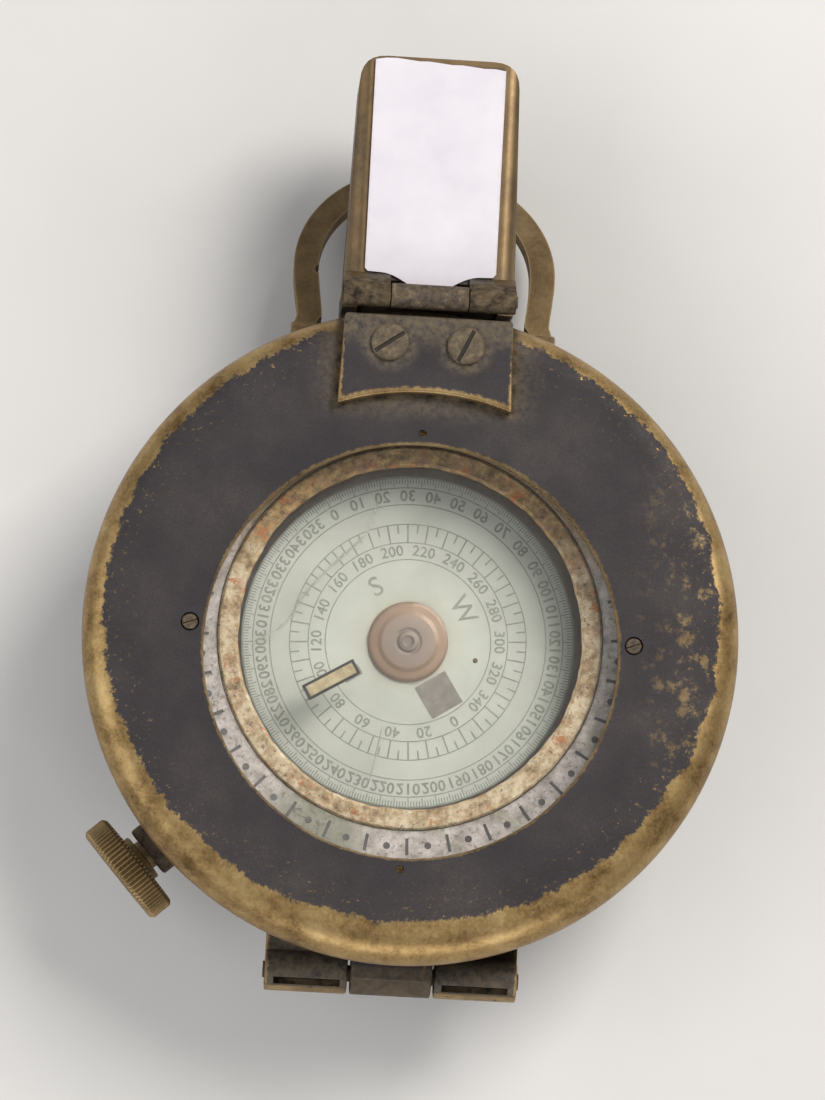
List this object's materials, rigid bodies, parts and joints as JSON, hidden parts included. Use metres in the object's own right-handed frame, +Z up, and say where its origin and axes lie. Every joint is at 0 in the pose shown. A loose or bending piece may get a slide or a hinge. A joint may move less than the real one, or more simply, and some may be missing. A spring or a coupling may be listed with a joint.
{
  "type": "prismatic marching compass",
  "caption": "Round liquid-filled marching compass with a glazed lid, turning bezel, folding sighting prism, side clamp screw and thumb ring.",
  "frame": {"origin": "centre of the base face, on the axis of the case", "axes": "+Z up through the lid, +Y from the case to the prism and thumb ring, -Y to the lid hinge"},
  "size_m": [0.063, 0.0905, 0.0249],
  "materials": {
    "dark_paint": "satin, chipped to brass",
    "worn_brass": "brown patina, worn",
    "bright_brass": "dull",
    "silvered_brass": "tarnished silvering",
    "glass": "polished",
    "steel": "dull",
    "rubber": "matte",
    "card_face": "printed, semi-matte",
    "luminous_paint": "aged",
    "paper": "matte"
  },
  "bodies": {
    "case": {"case_bowl": "dark_paint", "base_rubber_ring": "rubber", "capsule_cup": "silvered_brass", "capsule_gasket": "rubber", "capsule_glass": "glass", "capsule_lock_ring": "bright_brass", "pivot_post": "bright_brass", "pivot_needle": "steel", "lid_hinge_pin": "worn_brass", "bezel_keeper_screw_1": "worn_brass", "bezel_keeper_screw_2": "worn_brass", "bezel_keeper_screw_3": "worn_brass", "prism_slide_guide": "dark_paint", "thumb_ring_pin_left": "worn_brass", "thumb_ring_pin_right": "worn_brass"},
    "lid": {"lid_shell": "dark_paint", "lid_glass": "glass", "lid_glass_ring": "worn_brass", "tongue_plate": "worn_brass", "tongue_screw_left": "bright_brass", "tongue_screw_right": "bright_brass", "lid_screw_west": "worn_brass", "lid_screw_east": "worn_brass"},
    "bezel": {"bezel_ring": "silvered_brass", "bezel_glass": "glass", "bezel_glass_ring": "worn_brass", "luminous_bar": "luminous_paint"},
    "card": {"card_disc": "card_face", "card_jewel_cap": "bright_brass", "card_magnet_left": "steel", "card_magnet_right": "steel"},
    "slide": {"prism_slider": "worn_brass", "prism_hinge_pin": "worn_brass"},
    "prism": {"prism_housing": "worn_brass", "prism_cover": "dark_paint", "prism_cover_screw_1": "bright_brass", "prism_cover_screw_2": "bright_brass", "prism_cover_screw_3": "bright_brass", "prism_cover_screw_4": "bright_brass", "prism_glass": "glass", "prism_lens": "glass", "paper_label": "paper"},
    "clamp_shoe": {"clamp_shoe": "bright_brass"},
    "clamp_screw": {"clamp_screw": "worn_brass"},
    "thumb_ring": {"thumb_ring": "worn_brass"}
  },
  "joints": [
    {"name": "lid_hinge", "type": "hinge", "parent": "case", "child": "lid", "pos_m": [0, -0.0323, 0.0132], "axis": [1, 0, 0], "range_deg": [0, 180]},
    {"name": "bezel_spin", "type": "hinge", "parent": "case", "child": "bezel", "pos_m": [0, 0, 0.0142], "axis": [0, 0, 1], "continuous": true},
    {"name": "card_spin", "type": "hinge", "parent": "case", "child": "card", "pos_m": [0, 0, 0.0136], "axis": [0, 0, 1], "continuous": true},
    {"name": "prism_focus", "type": "slide", "parent": "case", "child": "slide", "axis": [0, 0, 1], "range_m": [0, 0.004]},
    {"name": "prism_fold", "type": "hinge", "parent": "slide", "child": "prism", "pos_m": [0, 0.0324, 0.0233], "axis": [1, 0, 0], "range_deg": [0, 180]},
    {"name": "clamp_advance", "type": "slide", "parent": "case", "child": "clamp_shoe", "axis": [0.7431, 0.6691, 0], "range_m": [-0.0005, 0.000333]},
    {"name": "clamp_turn", "type": "hinge", "parent": "clamp_shoe", "child": "clamp_screw", "pos_m": [-0.02601, -0.02342, 0.0113], "axis": [0.7431, 0.6691, 0], "range_deg": [-361, 241]},
    {"name": "thumb_ring_hinge", "type": "hinge", "parent": "case", "child": "thumb_ring", "pos_m": [0, 0.0297, 0.0113], "axis": [1, 0, 0], "range_deg": [-60, 28]}
  ],
  "couplings": [
    {"joint": "clamp_turn", "follows": "clamp_advance", "rad_per_m": 12566}
  ]
}
